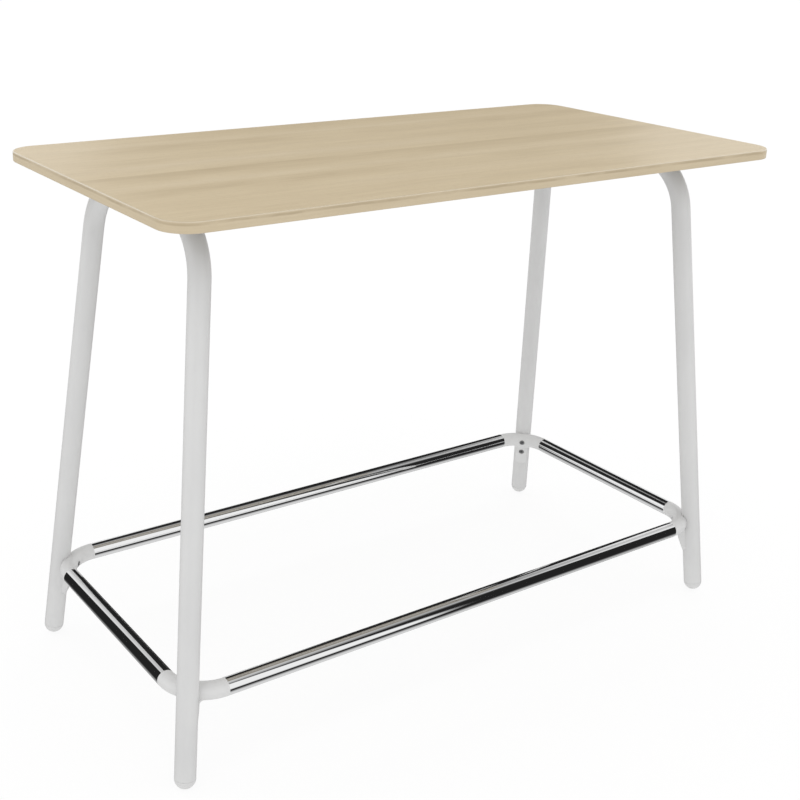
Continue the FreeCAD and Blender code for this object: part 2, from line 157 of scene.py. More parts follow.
def noise(tree, place, stretch, detail=3.0, roughness=0.55):
    """Cloudy value about 0.5, with its own number of clouds per metre along each axis."""
    scaled = add_node(tree, "ShaderNodeVectorMath", {0: place, 1: stretch}, operation="MULTIPLY")
    terms = {"Vector": scaled.outputs[0], "Scale": 1.0, "Detail": detail, "Roughness": roughness}
    return add_node(tree, "ShaderNodeTexNoise", terms).outputs[0]


def swing(tree, cloudy):
    """Cloudy value moved to swing about nought."""
    return calc(tree, "SUBTRACT", cloudy, 0.5)


def new_group(name, inputs, outputs):
    """Empty shader group with named sockets, its input node and its output node."""
    tree = bpy.data.node_groups.new(name, "ShaderNodeTree")
    for socket, kind in inputs.items():
        tree.interface.new_socket(socket, in_out="INPUT", socket_type="NodeSocket" + kind)
    for socket, kind in outputs.items():
        tree.interface.new_socket(socket, in_out="OUTPUT", socket_type="NodeSocket" + kind)
    return tree, add_node(tree, "NodeGroupInput"), add_node(tree, "NodeGroupOutput")


def place_group(tree, group, inputs):
    """A shader group placed in a material."""
    return add_node(tree, "ShaderNodeGroup", inputs, node_tree=group)


def new_material(name, constants):
    """Material with a Principled shader that has these constants, its tree and that shader."""
    material = bpy.data.materials.new(name)
    material.use_nodes = True
    tree = material.node_tree
    shader = tree.nodes["Principled BSDF"]
    for socket, value in constants.items():
        shader.inputs[socket].default_value = value
    return material, tree, shader


def feed(tree, shader, colour, roughness=None, height=None, relief=0.0, coat=None):
    """Leads the results of the effects to the shader, the height through a bump."""
    for socket, value in (("Base Color", colour), ("Roughness", roughness), ("Coat Weight", coat)):
        if value is not None:
            tree.links.new(value, shader.inputs[socket])
    if height is not None:
        bump = add_node(tree, "ShaderNodeBump", {"Height": height, "Distance": relief})
        tree.links.new(bump.outputs[0], shader.inputs["Normal"])


def own_place(tree):
    """Place on the piece, in metres of the table's own frame."""
    return add_node(tree, "ShaderNodeTexCoord").outputs["Object"]


def finish_nodes(material, *names):
    """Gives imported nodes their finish."""
    for name in names:
        nodes[name].data.materials[0] = material


def oak_decor_group():
    """Printed oak: broad bands, growth rings, fibres and pores, all along X."""
    sockets = {
        "Place": "Vector", "Ground": "Color", "Streak": "Color", "Pale": "Color",
        "Figure": "Float", "Light Figure": "Float", "Pore Strength": "Float",
    }
    outputs = {"Colour": "Color", "Roughness Shift": "Float", "Height": "Float"}
    tree, given, result = new_group("oak_decor", sockets, outputs)
    place = given.outputs["Place"]
    wander = noise(tree, place, wander_clouds)
    axes = add_node(tree, "ShaderNodeSeparateXYZ", {0: place})
    bent_y = calc(tree, "MULTIPLY_ADD", wander, grain_wander, axes.outputs[1])
    parts = {0: axes.outputs[0], 1: bent_y, 2: axes.outputs[2]}
    bent = add_node(tree, "ShaderNodeCombineXYZ", parts).outputs[0]
    growth = noise(tree, bent, growth_clouds, roughness=0.5)
    streaks = noise(tree, bent, streak_clouds, roughness=0.6)
    fibres = noise(tree, bent, fibre_clouds, detail=4.0, roughness=0.6)
    ring_turn = calc(tree, "MULTIPLY", bent_y, ring_turn_per_metre)
    ring_turn = calc(tree, "MULTIPLY_ADD", growth, ring_turn_by_growth, ring_turn)
    rings = calc(tree, "SINE", ring_turn)
    dark = calc(tree, "ADD", ramp(tree, growth, *dark_growth), given.outputs["Figure"])
    dark = calc(tree, "SUBTRACT", dark, print_lift)
    dark = calc(tree, "MULTIPLY_ADD", streaks, streak_share, dark)
    dark = calc(tree, "MULTIPLY_ADD", rings, ring_share, dark)
    dark = calc(tree, "MULTIPLY_ADD", swing(tree, fibres), fibre_share, dark)
    clamped = add_node(tree, "ShaderNodeClamp", {0: dark}).outputs[0]
    colour = mix_colour(tree, clamped, given.outputs["Ground"], given.outputs["Streak"])
    pale = ramp(tree, noise(tree, bent, pale_clouds, detail=2.0), *pale_growth)
    pale = calc(tree, "MINIMUM", calc(tree, "ADD", pale, given.outputs["Light Figure"]), 1.0)
    colour = mix_colour(tree, pale, colour, given.outputs["Pale"])
    dashes = noise(tree, bent, pore_clouds, detail=2.0)
    pores = calc(tree, "MULTIPLY", ramp(tree, dashes, *open_pores), given.outputs["Pore Strength"])
    colour = mix_colour(tree, pores, colour, given.outputs["Streak"])
    shift = calc(tree, "MULTIPLY", swing(tree, fibres), fibre_gloss)
    height = calc(tree, "SUBTRACT", calc(tree, "MULTIPLY", fibres, fibre_relief), pores)
    tree.links.new(colour, result.inputs["Colour"])
    tree.links.new(shift, result.inputs["Roughness Shift"])
    tree.links.new(height, result.inputs["Height"])
    return tree


oak_decor = oak_decor_group()


def band_figure(tree, place, bands):
    """Strength of a few broad bands of grain that lie along X."""
    drift = noise(tree, place, drift_clouds)
    breaks = ramp(tree, noise(tree, place, break_clouds), *band_breaks)
    axes = add_node(tree, "ShaderNodeSeparateXYZ", {0: place})
    straight = calc(tree, "SUBTRACT", axes.outputs[1], band_drift / 2)
    across = calc(tree, "MULTIPLY_ADD", drift, band_drift, straight)
    total = 0.0
    for band in bands:
        off = calc(tree, "ABSOLUTE", calc(tree, "SUBTRACT", across, band.middle))
        edge = band_edge * band.half_width
        core = band_core * band.half_width
        share = ramp(tree, off, edge, core, 0.0, band.strength)
        head = ramp(tree, axes.outputs[0], band.start - band_end_fade, band.start + band_end_fade)
        tail = ramp(tree, axes.outputs[0], band.end + band_end_fade, band.end - band_end_fade)
        share = calc(tree, "MULTIPLY", share, calc(tree, "MULTIPLY", head, tail))
        total = calc(tree, "ADD", total, share)
    return calc(tree, "MULTIPLY", total, breaks)


def seam_figure(tree, place):
    """Darker growth that starts sharply at the seam between the two planks and fades away."""
    axes = add_node(tree, "ShaderNodeSeparateXYZ", {0: place})
    start = ramp(tree, axes.outputs[1], seam_softness, -seam_softness)
    fade = ramp(tree, axes.outputs[1], -seam_width, -seam_core * seam_width)
    patches = ramp(tree, noise(tree, place, seam_clouds), *seam_patches)
    return calc(tree, "MULTIPLY", patches, calc(tree, "MULTIPLY", start, fade))


def face_material():
    """Laminate printed as two wide planks with the grain lengthways, under a thin clear overlay."""
    material, tree, shader = new_material("oak_face", {
        "Roughness": laminate_roughness, "Specular IOR Level": laminate_gloss,
        "Coat Weight": overcoat_share, "Coat Roughness": overcoat_roughness,
    })
    place = own_place(tree)
    figure = calc(tree, "ADD", band_figure(tree, place, grain_bands), seam_figure(tree, place))
    decor = place_group(tree, oak_decor, {
        "Place": place, "Ground": oak_ground, "Streak": oak_streak, "Pale": oak_pale,
        "Figure": figure, "Light Figure": band_figure(tree, place, pale_bands),
        "Pore Strength": face_pores,
    })
    gloss = calc(tree, "ADD", decor.outputs["Roughness Shift"], laminate_roughness)
    feed(tree, shader, decor.outputs["Colour"], gloss, decor.outputs["Height"], print_relief)
    return material


def backing_material():
    """Plain balancing sheet with a faint woody print."""
    material, tree, shader = new_material("backing_sheet", {"Roughness": backing_roughness})
    decor = place_group(tree, oak_decor, {
        "Place": own_place(tree), "Ground": backing_ground, "Streak": backing_streak,
        "Pale": backing_pale, "Figure": backing_figure, "Light Figure": 0.0,
        "Pore Strength": backing_pores,
    })
    gloss = calc(tree, "ADD", decor.outputs["Roughness Shift"], backing_roughness)
    feed(tree, shader, decor.outputs["Colour"], gloss, decor.outputs["Height"], print_relief)
    return material


def chipboard_material():
    """Pressed wood chips."""
    material, tree, shader = new_material("chipboard", {"Roughness": chip_roughness})
    terms = {"Vector": own_place(tree), "Scale": chips_per_metre}
    chips = add_node(tree, "ShaderNodeTexVoronoi", terms)
    colour = mix_colour(tree, chips.outputs["Color"], chip_ground, chip_dark)
    feed(tree, shader, colour, None, chips.outputs["Distance"], chip_relief)
    return material


finish_nodes(face_material(), "top_laminate")
finish_nodes(backing_material(), "backing_laminate")
finish_nodes(chipboard_material(), "top_core")


# Edge band: a 2 mm strip glued round the board in one piece, printed to match the face.
# Its two arrises are milled round; the upper one is glossy and has a painted highlight, and the
# lower one has painted shade.

band_ground = (0.603, 0.505, 0.350, 1)
band_streak = (0.500, 0.405, 0.264, 1)
band_pale = (0.632, 0.535, 0.382, 1)
brown_line_colour = (0.455, 0.368, 0.240, 1)
# Painted highlight along the upper arris and painted shade along the lower arris: their colours and
# how strongly each is mixed in.
painted_highlight_colour = (0.80, 0.72, 0.58, 1)
painted_shade_colour = (0.560, 0.470, 0.345, 1)
painted_highlight_share = 0.40
painted_shade_share = 0.8
band_roughness = 0.45
band_pores = 0.4
band_relief = 0.00005
arris_height = 0.0018
arris_core = 0.3
arris_gloss = 0.16
gloss_edge = 1.5
gloss_core = 0.6
# Brown line below the upper arris: its depth, wander, thickness and breaks.
brown_line_drop = 0.0043
brown_line_wander = 0.0060
brown_line_thickness = 0.0034
brown_line_core = 0.2
brown_line_clouds = (9.0, 1.0, 1.0)
brown_line_break_clouds = (13.0, 60.0, 1.0)
brown_line_breaks = (0.32, 0.60, 0.15, 1.0)


def edge_band_material():
    """Oak print that runs round the board, a brown line near its top, a glossy upper arris with a
    painted highlight, and painted shade on the lower arris.
    """
    material, tree, shader = new_material("oak_edge_band", {
        "Roughness": band_roughness, "Coat Roughness": arris_gloss,
    })
    low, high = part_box("edge_band")
    axes = add_node(tree, "ShaderNodeSeparateXYZ", {0: own_place(tree)})
    along = calc(tree, "ADD", axes.outputs[0], axes.outputs[1])
    height = axes.outputs[2]
    place = add_node(tree, "ShaderNodeCombineXYZ", {0: along, 1: height}).outputs[0]
    decor = place_group(tree, oak_decor, {
        "Place": place, "Ground": band_ground, "Streak": band_streak, "Pale": band_pale,
        "Figure": 0.0, "Light Figure": 0.0, "Pore Strength": band_pores,
    })
    core = arris_core * arris_height
    upper = ramp(tree, height, high.z - arris_height, high.z - core)
    lower = ramp(tree, height, low.z + arris_height, low.z + core)
    glossy = ramp(tree, height, high.z - gloss_edge * arris_height,
                  high.z - gloss_core * arris_height)
    # A brown line that wanders just below the upper arris and breaks off in places.
    wander = swing(tree, noise(tree, place, brown_line_clouds, detail=4.0))
    middle = calc(tree, "MULTIPLY_ADD", wander, brown_line_wander, high.z - brown_line_drop)
    off_brown_line = calc(tree, "ABSOLUTE", calc(tree, "SUBTRACT", height, middle))
    brown_line = ramp(tree, off_brown_line, brown_line_thickness, brown_line_core * brown_line_thickness)
    breaks = ramp(tree, noise(tree, place, brown_line_break_clouds), *brown_line_breaks)
    brown_line = calc(tree, "MULTIPLY", brown_line, breaks)
    colour = mix_colour(tree, brown_line, decor.outputs["Colour"], brown_line_colour)
    # Painted shade along the lower arris.
    painted_shade = calc(tree, "MULTIPLY", lower, painted_shade_share)
    colour = mix_colour(tree, painted_shade, colour, painted_shade_colour)
    # Painted highlight along the upper arris.
    painted_highlight = calc(tree, "MULTIPLY", upper, painted_highlight_share)
    colour = mix_colour(tree, painted_highlight, colour, painted_highlight_colour)
    gloss = calc(tree, "ADD", decor.outputs["Roughness Shift"], band_roughness)
    feed(tree, shader, colour, gloss, decor.outputs["Height"], band_relief, coat=glossy)
    return material


finish_nodes(edge_band_material(), "edge_band")


# End frames: each one steel tube, bent twice into a run under the board and two splayed legs.
# It is blasted, sprayed with light grey powder and baked; flat tabs are welded on for the board.

coat_grey = (0.661, 0.661, 0.658, 1)
coat_shade = (0.626, 0.626, 0.624, 1)
coat_roughness = 0.42
coat_relief = 0.00003
coat_clouds = (9.0, 9.0, 5.0)
coat_tone = (0.35, 0.75)
peel_clouds = (700.0, 700.0, 700.0)
speckle_clouds = (2600.0, 2600.0, 2600.0)
speckle_gloss = 0.14
cloud_gloss = 0.12
speckle_relief = 0.2
run_radius = 0.020
run_crown = 0.0005
same_place = 1e-6
sorted_digits = 4
bead_radius = 0.0021
bead_ripple = 0.0016
bead_swell = 0.13
bead_sides = 12
rings_per_ripple = 4
taper_rings = 5
blunt_end = 0.3
tab_bead_offset = 0.0006
tab_bead_inset = 0.001


def powder_coat_group():
    """Baked powder: orange peel, faint clouds in its tone and a fine dull speckle."""
    sockets = {"Place": "Vector", "Colour": "Color", "Shade": "Color", "Roughness": "Float"}
    outputs = {"Colour": "Color", "Roughness": "Float", "Height": "Float"}
    tree, given, result = new_group("powder_coat", sockets, outputs)
    place = given.outputs["Place"]
    clouds = noise(tree, place, coat_clouds)
    peel = noise(tree, place, peel_clouds, detail=2.0, roughness=0.4)
    speckle = noise(tree, place, speckle_clouds, detail=1.0)
    tone = ramp(tree, clouds, *coat_tone)
    colour = mix_colour(tree, tone, given.outputs["Colour"], given.outputs["Shade"])
    rough = calc(tree, "MULTIPLY_ADD", swing(tree, speckle), speckle_gloss,
                 given.outputs["Roughness"])
    rough = calc(tree, "MULTIPLY_ADD", swing(tree, clouds), cloud_gloss, rough)
    height = calc(tree, "MULTIPLY_ADD", speckle, speckle_relief, peel)
    tree.links.new(colour, result.inputs["Colour"])
    tree.links.new(rough, result.inputs["Roughness"])
    tree.links.new(height, result.inputs["Height"])
    return tree


powder_coat = powder_coat_group()


def powder_material(name, colour, shade, roughness, relief):
    """Powder-coated steel or casting."""
    material, tree, shader = new_material(name, {"Roughness": roughness})
    coat = place_group(tree, powder_coat, {
        "Place": own_place(tree), "Colour": colour, "Shade": shade, "Roughness": roughness,
    })
    feed(tree, shader, coat.outputs["Colour"], coat.outputs["Roughness"],
         coat.outputs["Height"], relief)
    return material


def mesh_piece(name, build, material, body):
    """New piece from a function that fills a bmesh, with its finish, body and slot."""
    mesh = bpy.data.meshes.new(name)
    shape = bmesh.new()
    build(shape)
    bmesh.ops.recalc_face_normals(shape, faces=shape.faces)
    shape.to_mesh(mesh)
    shape.free()
    mesh.shade_smooth()
    piece = bpy.data.objects.new(name, mesh)
    bpy.context.scene.collection.objects.link(piece)
    piece.data.materials.append(material)
    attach(piece, body)
    return piece


def add_ring(shape, middle, side, lift, reaches):
    """Ring of corners round a place, with its reach in each direction."""
    ring = []
    for turn, reach in enumerate(reaches):
        angle = math.tau * turn / len(reaches)
        offset = reach * (math.cos(angle) * side + math.sin(angle) * lift)
        ring.append(shape.verts.new(middle + offset))
    return ring


def join_rings(shape, near, far, shift=0):
    """Faces between two rings, the far one turned by a number of corners."""
    sides = len(near)
    for turn in range(sides):
        after = (turn + 1) % sides
        shape.faces.new((near[turn], near[after], far[(after + shift) % sides],
                         far[(turn + shift) % sides]))


def add_bead(shape, corners, radius):
    """Closed bead of weld along a line of corners, rippled where each drop of metal froze."""
    points = []
    for start, end in zip(corners, corners[1:]):
        steps = max(2, round((end - start).length / (bead_ripple / rings_per_ripple)))
        points += [start.lerp(end, step / steps) for step in range(steps)]
    points.append(corners[-1])
    rings = []
    travel = 0.0
    for index, point in enumerate(points):
        before = points[max(index - 1, 0)]
        after = points[min(index + 1, len(points) - 1)]
        travel += (point - before).length
        ahead = (after - before).normalized()
        side = ahead.orthogonal().normalized()
        from_end = min(index, len(points) - 1 - index)
        taper = math.sqrt(min(1.0, (from_end + blunt_end) / taper_rings))
        ripple = 1 + bead_swell * abs(math.sin(math.pi * travel / bead_ripple))
        reaches = [radius * taper * ripple] * bead_sides
        rings.append(add_ring(shape, point, side, ahead.cross(side), reaches))
    for near, far in zip(rings, rings[1:]):
        shift = min(range(bead_sides), key=lambda turn: (far[turn].co - near[0].co).length)
        join_rings(shape, near, far, shift)
    shape.faces.new(rings[0])
    shape.faces.new(rings[-1])


def run_side(sign, height):
    """Distance from the run's axis to its surface at a height, to the side given by sign."""
    axis_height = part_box("left_mounting_tabs")[1].z - run_radius
    return sign * math.sqrt(run_radius ** 2 - (height - axis_height) ** 2)


def run_axis(end):
    """Place of a run's axis along the board, from the frame's highest stretch."""
    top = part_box(f"{end}_end_frame")[1].z
    places = [vert.co for vert in nodes[f"{end}_end_frame"].data.vertices]
    crown = [place.x for place in places if place.z > top - run_crown]
    return (min(crown) + max(crown)) / 2


def box_round(places):
    """Low and high corner of the box round some places."""
    return [Vector(pick(place[axis] for place in places) for axis in range(3))
            for pick in (min, max)]


def island_boxes(name):
    """Box of each separate solid of a node."""
    shape = bmesh.new()
    shape.from_mesh(nodes[name].data)
    bmesh.ops.remove_doubles(shape, verts=shape.verts, dist=same_place)
    left = set(shape.verts)
    boxes = []
    while left:
        found = {left.pop()}
        front = list(found)
        while front:
            vert = front.pop()
            for edge in vert.link_edges:
                other = edge.other_vert(vert)
                if other not in found:
                    found.add(other)
                    front.append(other)
        left -= found
        boxes.append(box_round([vert.co for vert in found]))
    shape.free()
    return sorted(boxes, key=lambda box: tuple(round(v, sorted_digits) for v in box[0]))


def tab_beads(end, sign):
    """Beads under the two tabs of one end, in the corner between tab and run."""
    def build(shape):
        for low, high in island_boxes(f"{end}_mounting_tabs"):
            x = run_axis(end) + run_side(sign, low.z) + sign * tab_bead_offset
            z = low.z - tab_bead_offset
            start = Vector((x, low.y + tab_bead_inset, z))
            finish = Vector((x, high.y - tab_bead_inset, z))
            add_bead(shape, [start, finish], bead_radius)
    return build


frame_coat = powder_material("frame_coat", coat_grey, coat_shade, coat_roughness, coat_relief)
finish_nodes(frame_coat, "left_end_frame", "right_end_frame")
finish_nodes(frame_coat, "left_mounting_tabs", "right_mounting_tabs")
ends = {"left": -1, "right": 1}
for end, sign in ends.items():
    mesh_piece(f"{end}_tab_welds", tab_beads(end, sign), frame_coat, "table")


# Tab screws: zinc-plated M6 button heads that pull the tabs against threaded inserts in the board.
# The zinc is bright, with duller clouds and fine scuffs from the key.

zinc_bright = (0.66, 0.66, 0.64, 1)
zinc_dull = (0.50, 0.51, 0.52, 1)
zinc_roughness = 0.3
zinc_clouds = (160.0, 160.0, 160.0)
zinc_tone = (0.35, 0.70)
scuff_clouds = (900.0, 5200.0, 5200.0)
zinc_smoothest = 0.20
scuff_roughening = 0.22
scuff_relief = 0.00002
screw_sides = 48
hexagon = 6
ButtonScrew = namedtuple("ButtonScrew", [
    "head_radius", "head_height", "shank_radius", "socket_width", "socket_depth",
])
tab_screw = ButtonScrew(0.006, 0.004, 0.003, 0.004, 0.0022)
socket_chamfer = 0.0003
socket_chamfer_depth = 0.0002
shoulder_round = 0.0001
rim_height = 0.0004
rim_round = 0.0003

# Crown of a head: how far each ring lies below the top, and its radius, as shares of the head's.
head_crown = [(0.0, 0.62), (0.06, 0.72), (0.275, 0.90)]
head_shoulder = 0.55


def zinc_material():
    """Bright zinc plate with soft clouds and fine scuffs."""
    material, tree, shader = new_material("zinc_plate", {
        "Metallic": 1.0, "Roughness": zinc_roughness,
    })
    place = own_place(tree)
    clouds = ramp(tree, noise(tree, place, zinc_clouds), *zinc_tone)
    scuffs = noise(tree, place, scuff_clouds, detail=2.0)
    colour = mix_colour(tree, clouds, zinc_bright, zinc_dull)
    rough = calc(tree, "MULTIPLY_ADD", scuffs, scuff_roughening, zinc_smoothest)
    feed(tree, shader, colour, rough, scuffs, scuff_relief)
    return material


def add_rings(shape, seat, along, rings):
    """Closed piece round an axis, from rings of (distance along, reach in each direction)."""
    side = along.orthogonal().normalized()
    lift = along.cross(side)
    made = [add_ring(shape, seat + along * distance, side, lift, reaches)
            for distance, reaches in rings]
    for near, far in zip(made, made[1:]):
        join_rings(shape, near, far)
    shape.faces.new(made[0])
    shape.faces.new(made[-1])


def add_turned(shape, seat, along, rings):
    """Closed turned piece: rings of (distance along, radius, flat sides or 0 for round)."""
    turned = []
    for distance, radius, flats in rings:
        reaches = []
        for turn in range(screw_sides):
            reach = radius
            if flats:
                flat = math.tau / flats
                reach = radius / math.cos((math.tau * turn / screw_sides) % flat - flat / 2)
            reaches.append(reach)
        turned.append((distance, reaches))
    add_rings(shape, seat, along, turned)


def screw_rings(screw, length):
    """Rings of a button-head screw with a hexagon socket, head first, seat at distance 0."""
    half = screw.socket_width / 2
    top = -screw.head_height
    shoulder = screw.head_radius - shoulder_round
    rings = [
        (top + screw.socket_depth, half, hexagon),
        (top + socket_chamfer_depth, half, hexagon),
        (top, half + socket_chamfer, hexagon),
    ]
    for drop, radius in head_crown:
        rings.append((top + drop * screw.head_height, radius * screw.head_radius, 0))
    rings += [
        (top + head_shoulder * screw.head_height, shoulder, 0),
        (-rim_height, screw.head_radius, 0),
        (0.0, screw.head_radius - rim_round, 0),
        (0.0, screw.shank_radius, 0),
        (length - screw.shank_radius / 2, screw.shank_radius, 0),
        (length, screw.shank_radius / 2, 0),
    ]
    return rings


def upright_screws(node, screw):
    """Screws with their heads down, one in each solid of a node."""
    def build(shape):
        for low, high in island_boxes(node):
            middle = (low + high) / 2
            seat = Vector((middle.x, middle.y, low.z + screw.head_height))
            add_turned(shape, seat, Vector((0, 0, 1)), screw_rings(screw, high.z - seat.z))
    return build


def set_button_screws(name, node, screw):
    """Zinc-plated button-head screws in place of a node's plain ones."""
    piece = mesh_piece(name, upright_screws(node, screw), zinc, "table")
    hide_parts(node)


zinc = zinc_material()
set_button_screws("tab_button_screws", "tab_screws", tab_screw)
finish_nodes(zinc, "board_inserts")


# Rails: two steel tubes, coated like the frames, that slide over tongues welded to the runs.
# Button-head screws clamp each rail to its tongues, and short ones inside it pull it to the board.

rail_roughness = 0.46
rail_screw = ButtonScrew(0.0055, 0.0035, 0.003, 0.004, 0.002)
board_screw = ButtonScrew(0.0045, 0.003, 0.0022, 0.003, 0.0018)
tongue_bead_radius = 0.0014
tongue_bead_offset = 0.0004
tongue_bead_drop = 0.002
tongue_bead_steps = 8


def tongue_beads(end, sign):
    """Bead round the two sides and the underside of each tongue, on the inner side of the run."""
    def build(shape):
        for low, high in island_boxes(f"{end}_rail_tongues"):
            top = high.z - tongue_bead_drop
            fall = (top - low.z) / tongue_bead_steps
            down = [top - step * fall for step in range(tongue_bead_steps + 1)]
            corners = []
            for y, heights in ((low.y - tongue_bead_offset, down),
                               (high.y + tongue_bead_offset, reversed(down))):
                for height in heights:
                    x = run_axis(end) + run_side(-sign, height)
                    corners.append(Vector((x, y, height)))
            add_bead(shape, corners, tongue_bead_radius)
    return build


rail_coat = powder_material("rail_coat", coat_grey, coat_shade, rail_roughness, coat_relief)
finish_nodes(rail_coat, "front_rail", "back_rail", "left_rail_tongues", "right_rail_tongues")
for end, sign in ends.items():
    mesh_piece(f"{end}_tongue_welds", tongue_beads(end, sign), rail_coat, "table")
set_button_screws("rail_button_screws", "rail_screws", rail_screw)
set_button_screws("board_button_screws", "board_screws", board_screw)
finish_nodes(zinc, "rail_nuts")


# Foot-rest bars: thin steel tubes, ground, polished and chrome-plated.
# They slide over the spigots of the corner fittings; shoes leave fine rub marks along the top.

chrome_tint = (0.865, 0.868, 0.872, 1)
chrome_haze = (0.80, 0.80, 0.80, 1)
chrome_roughness = 0.05
chrome_smoothest = 0.025
long_bar_polish = (900.0, 30.0, 30.0)
short_bar_polish = (30.0, 900.0, 30.0)
polish_roughening = 0.025
haze_clouds = (14.0, 14.0, 60.0)
haze_patches = (0.45, 0.70)
haze_roughening = 0.05
top_of_bar = (0.75, 1.0)


def chrome_material(name, polish):
    """Bright chrome with polishing lines round the bar and a faint haze on its top."""
    material, tree, shader = new_material(name, {"Metallic": 1.0, "Roughness": chrome_roughness})
    place = own_place(tree)
    lines = noise(tree, place, polish, detail=2.0)
    haze = ramp(tree, noise(tree, place, haze_clouds), *haze_patches)
    facing = add_node(tree, "ShaderNodeNewGeometry").outputs["Normal"]
    upward = add_node(tree, "ShaderNodeSeparateXYZ", {0: facing}).outputs[2]
    worn = calc(tree, "MULTIPLY", ramp(tree, upward, *top_of_bar), haze)
    colour = mix_colour(tree, worn, chrome_tint, chrome_haze)
    rough = calc(tree, "MULTIPLY_ADD", lines, polish_roughening, chrome_smoothest)
    rough = calc(tree, "MULTIPLY_ADD", worn, haze_roughening, rough)
    feed(tree, shader, colour, rough)
    return material


long_chrome = chrome_material("chrome_long_bars", long_bar_polish)
short_chrome = chrome_material("chrome_short_bars", short_bar_polish)
finish_nodes(long_chrome, "front_foot_bar", "back_foot_bar")
finish_nodes(short_chrome, "left_foot_bar", "right_foot_bar")


# Corner fittings: castings that join two bars and run down the inside of the leg.
# They are coated in the frame's grey; their copy of it is a little lighter, painted light to offset
# the shade where they meet the leg. Dark zinc screws hold them.

# Painted light: a lighter copy of the frame's grey, against the shade between fitting and leg.
cast_lightened_grey = (0.674, 0.674, 0.671, 1)
cast_lightened_shade = (0.638, 0.638, 0.636, 1)
cast_roughness = 0.44
cast_relief = 0.00005
dark_zinc = (0.27, 0.27, 0.275, 1)
dark_zinc_worn = (0.42, 0.42, 0.42, 1)
dark_zinc_metal = 0.7
dark_zinc_roughness = 0.42
rub_clouds = (480.0, 480.0, 480.0)
rub_patches = (0.50, 0.75)
dark_zinc_smoothest = 0.30
rub_roughening = 0.20
rub_relief = 0.00002


def dark_zinc_material():
    """Dark zinc plate, rubbed paler where the key turned."""
    material, tree, shader = new_material("dark_zinc", {
        "Metallic": dark_zinc_metal, "Roughness": dark_zinc_roughness,
    })
    rub = noise(tree, own_place(tree), rub_clouds)
    colour = mix_colour(tree, ramp(tree, rub, *rub_patches), dark_zinc, dark_zinc_worn)
    rough = calc(tree, "MULTIPLY_ADD", rub, rub_roughening, dark_zinc_smoothest)
    feed(tree, shader, colour, rough, rub, rub_relief)
    return material


corners = ("front_left", "front_right", "back_left", "back_right")
lightened_cast_coat = powder_material("lightened_cast_coat", cast_lightened_grey, cast_lightened_shade, cast_roughness, cast_relief)
finish_nodes(lightened_cast_coat, *[f"corner_fitting_{corner}" for corner in corners])
finish_nodes(dark_zinc_material(), "fitting_screws_upper", "fitting_screws_lower")
finish_nodes(zinc, "leg_rivet_nuts")


# Feet: half balls as wide as the leg, on threaded stems that screw into plugs in the tube's end.
# The dome is coated like the frame, the stem is zinc-plated and the plug is black moulded plastic.

plug_black = (0.022, 0.022, 0.023, 1)
plug_grey = (0.040, 0.040, 0.041, 1)
plug_roughness = 0.55
skin_clouds = (1500.0, 1500.0, 1500.0)
plug_smoothest = 0.45
skin_roughening = 0.20
skin_relief = 0.00005
dome_roughness = 0.44
rolled_clouds = (900.0, 900.0, 2600.0)
rolled_roughening = 0.25
rolled_relief = 0.00001
crest_edge = (0.48, 0.54)
thread_pitch = 0.00125
thread_depth = 0.00060
thread_sides = 24
thread_rows = 6
stem_head_radius = 0.007
stem_head_height = 0.006
stem_radius = 0.004
stem_chamfer = 0.0010
stem_bevel = 0.0003
stem_end_reach = 0.003


def plug_material():
    """Moulded plastic with a fine spark-eroded skin."""
    material, tree, shader = new_material("plug_plastic", {"Roughness": plug_roughness})
    skin = noise(tree, own_place(tree), skin_clouds, detail=2.0)
    colour = mix_colour(tree, skin, plug_black, plug_grey)
    rough = calc(tree, "MULTIPLY_ADD", skin, skin_roughening, plug_smoothest)
    feed(tree, shader, colour, rough, skin, skin_relief)
    return material


def thread_material():
    """Zinc-plated steel, brighter on the crests of its rolled thread."""
    material, tree, shader = new_material("zinc_thread", {
        "Metallic": 1.0, "Roughness": zinc_roughness,
    })
    scuffs = noise(tree, own_place(tree), rolled_clouds, detail=2.0)
    sharpness = add_node(tree, "ShaderNodeNewGeometry").outputs["Pointiness"]
    colour = mix_colour(tree, ramp(tree, sharpness, *crest_edge), zinc_dull, zinc_bright)
    rough = calc(tree, "MULTIPLY_ADD", scuffs, rolled_roughening, zinc_smoothest)
    feed(tree, shader, colour, rough, scuffs, rolled_relief)
    return material


def stem_reaches(distance, length):
    """Reach of a stem in each direction at a distance from its head: a rolled thread."""
    past_chamfer = max(0.0, distance - length + stem_chamfer)
    reaches = []
    for turn in range(thread_sides):
        wave = abs(2 * ((distance / thread_pitch - turn / thread_sides) % 1.0) - 1)
        reaches.append(stem_radius - max(thread_depth * wave, past_chamfer))
    return reaches


def threaded_stem(name):
    """Stem of a glide: a round head that sits in the dome, and a thread up to its end."""
    def build(shape):
        low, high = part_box(name)
        places = [vert.co for vert in nodes[name].data.vertices]
        foot = box_round([place for place in places if place.z < low.z + stem_end_reach])
        tip = box_round([place for place in places if place.z > high.z - stem_end_reach])
        foot = sum(foot, Vector()) / 2
        along = sum(tip, Vector()) / 2 - foot
        length = along.length
        thread_length = length - stem_head_height
        steps = round(thread_rows * thread_length / thread_pitch)
        full = [stem_head_radius] * thread_sides
        slim = [stem_head_radius - stem_bevel] * thread_sides
        rings = [(0.0, slim), (stem_bevel, full), (stem_head_height - stem_bevel, full),
                 (stem_head_height, slim)]
        for step in range(steps + 1):
            distance = stem_head_height + thread_length * step / steps
            rings.append((distance, stem_reaches(distance, length)))
        add_rings(shape, foot, along.normalized(), rings)
    return build


